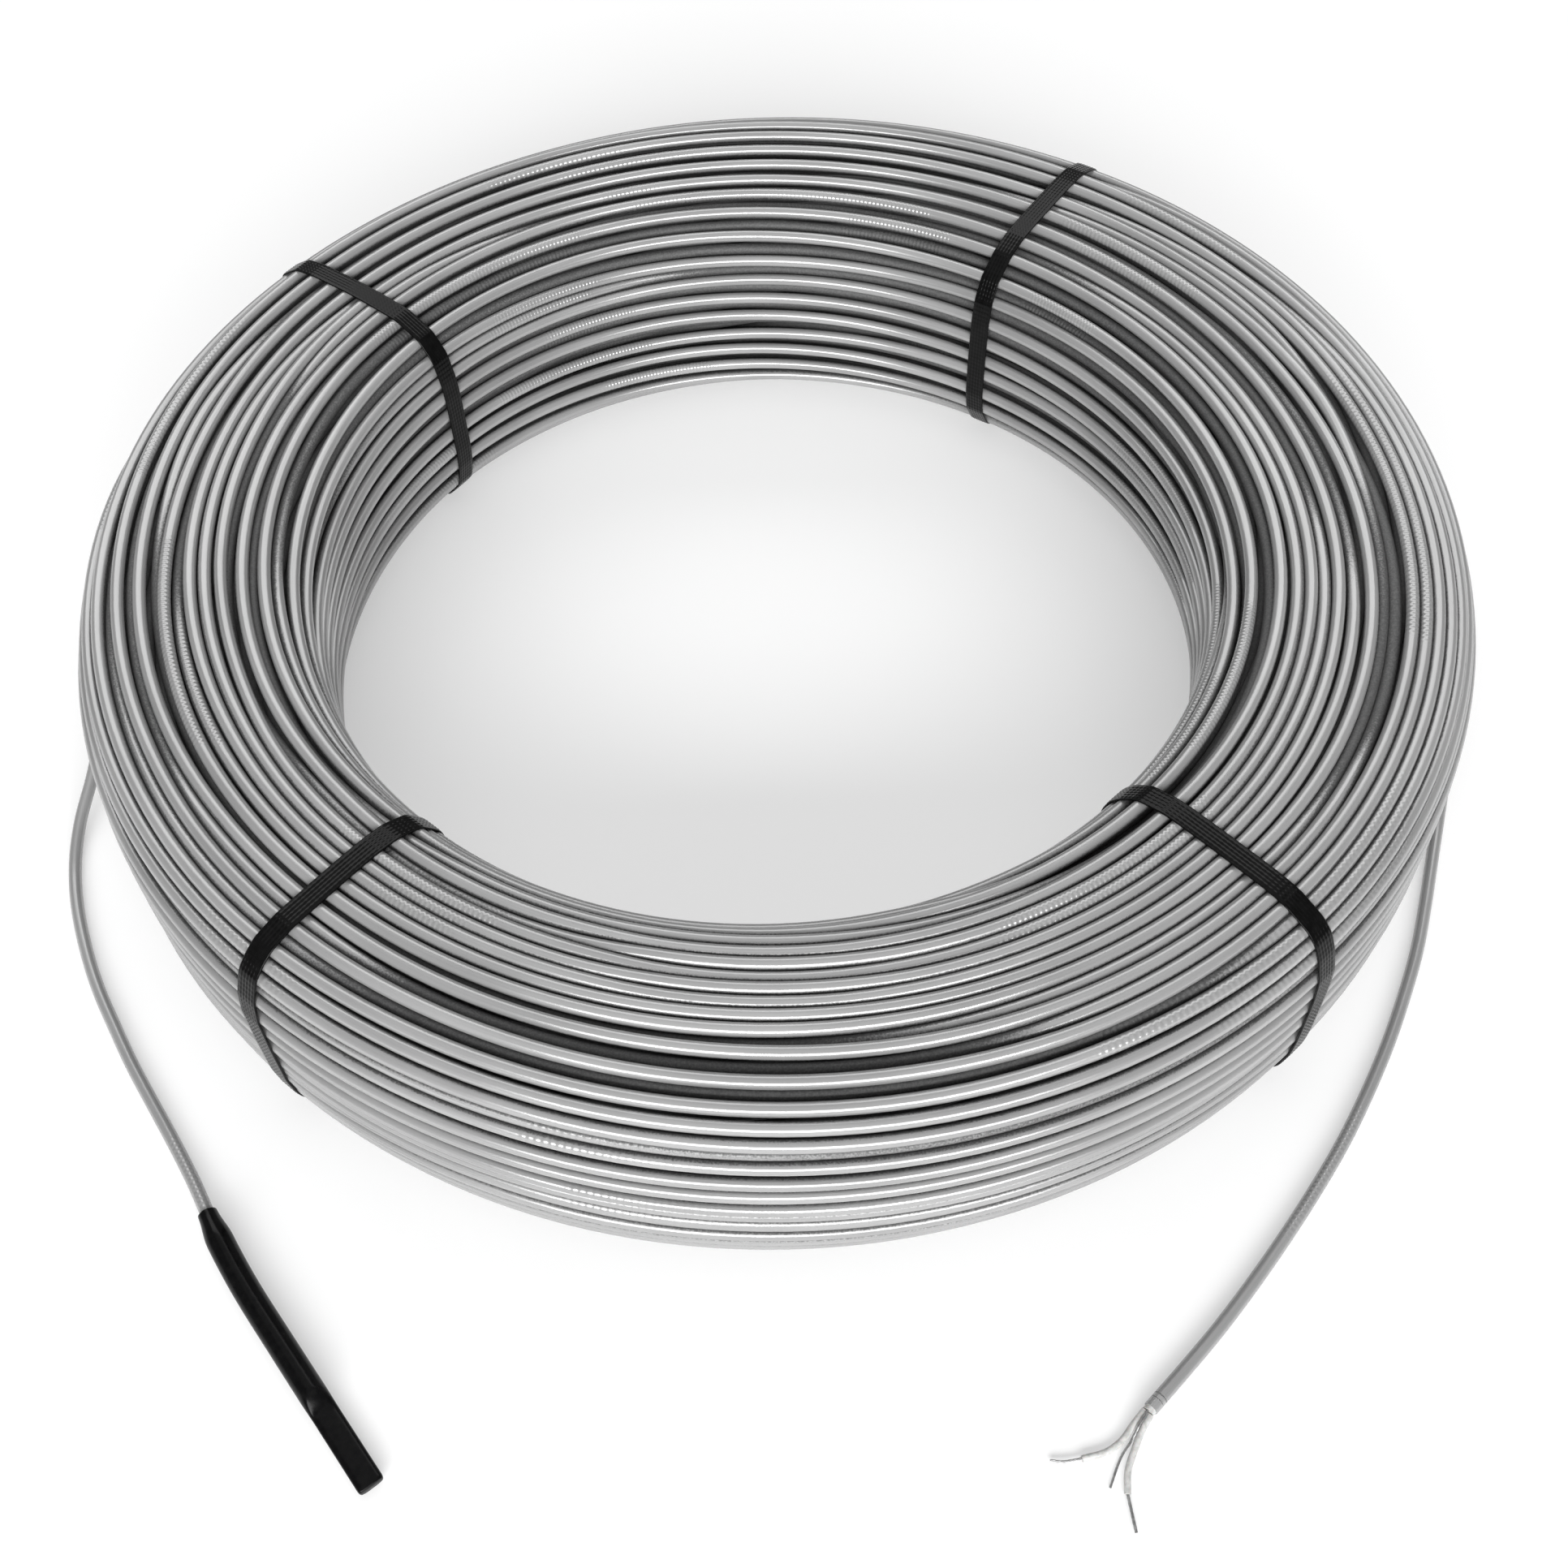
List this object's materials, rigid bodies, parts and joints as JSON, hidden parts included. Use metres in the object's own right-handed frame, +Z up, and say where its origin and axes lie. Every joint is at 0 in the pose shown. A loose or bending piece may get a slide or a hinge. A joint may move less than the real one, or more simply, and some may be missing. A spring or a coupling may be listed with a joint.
{
  "type": "heating cable",
  "caption": "Round coil of grey heating cable held by flat straps, one end closed by a shrunk sleeve and the other stripped to its cores and drain wire.",
  "frame": {"origin": "on the coil's axis, level with the undersides of the straps that it lies on", "axes": "+Z up along the coil's axis; both free ends reach out towards -Y, the sleeved one at -X and the stripped one at +X"},
  "size_m": [0.5674, 0.634, 0.1044],
  "materials": {
    "jacket": "glossy grey cable jacket",
    "strap": "black strap embossed with small diamonds",
    "sleeve": "satin black shrunk sleeve",
    "insulation": "satin white core insulation",
    "wire": "tinned copper wire"
  },
  "bodies": {
    "root": {"cable_coil": "jacket", "sleeved_lead": "jacket", "stripped_lead": "jacket", "strap_back_right": "strap", "strap_back_left": "strap", "strap_front_left": "strap", "strap_front_right": "strap", "end_sleeve": "sleeve", "inner_sheath": "insulation", "core_left": "insulation", "core_right": "insulation", "conductor_left": "wire", "conductor_right": "wire", "drain_wire": "wire"}
  },
  "joints": []
}
